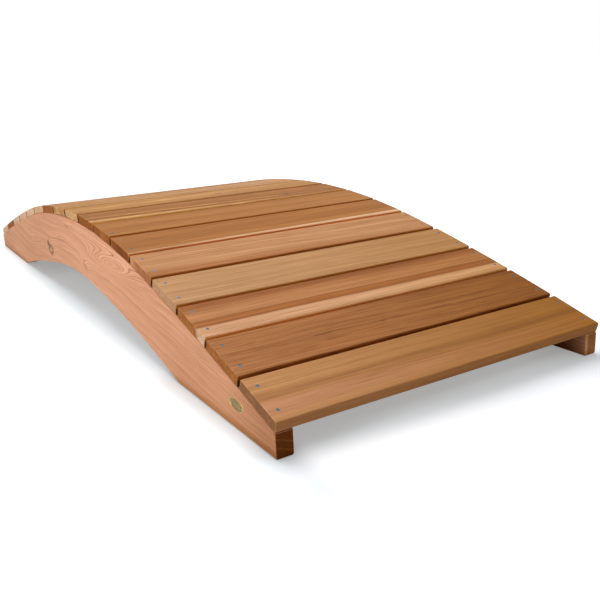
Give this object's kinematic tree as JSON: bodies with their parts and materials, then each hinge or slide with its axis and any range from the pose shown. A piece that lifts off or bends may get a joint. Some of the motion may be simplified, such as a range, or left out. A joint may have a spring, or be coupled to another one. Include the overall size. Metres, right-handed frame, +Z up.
{
  "type": "arched garden bridge",
  "caption": "Low arched wooden garden bridge: boards laid across arched side beams, without rails.",
  "frame": {"origin": "on the ground, under the middle of the deck", "axes": "+X along the walkway towards the near end, +Y across it towards the right-hand beam, +Z up"},
  "size_m": [2.4502, 0.876, 0.3025],
  "materials": {
    "beam_cedar": "planed, unfinished",
    "deck_cedar_tan": "planed, unfinished",
    "deck_cedar_brown": "planed, unfinished",
    "deck_cedar_red": "planed, unfinished",
    "screw_steel": "coated",
    "tag_brass": "satin"
  },
  "bodies": {
    "root": {"left_beam": "beam_cedar", "right_beam": "beam_cedar", "plank_01": "deck_cedar_tan", "plank_02": "deck_cedar_brown", "plank_03": "deck_cedar_red", "plank_04": "deck_cedar_tan", "plank_05": "deck_cedar_red", "plank_06": "deck_cedar_red", "plank_07": "deck_cedar_tan", "plank_08": "deck_cedar_brown", "plank_09": "deck_cedar_tan", "plank_10": "deck_cedar_red", "plank_11": "deck_cedar_brown", "plank_12": "deck_cedar_red", "plank_13": "deck_cedar_tan", "plank_14": "deck_cedar_red", "plank_15": "deck_cedar_tan", "plank_16": "deck_cedar_brown", "plank_17": "deck_cedar_tan"}
  },
  "joints": []
}
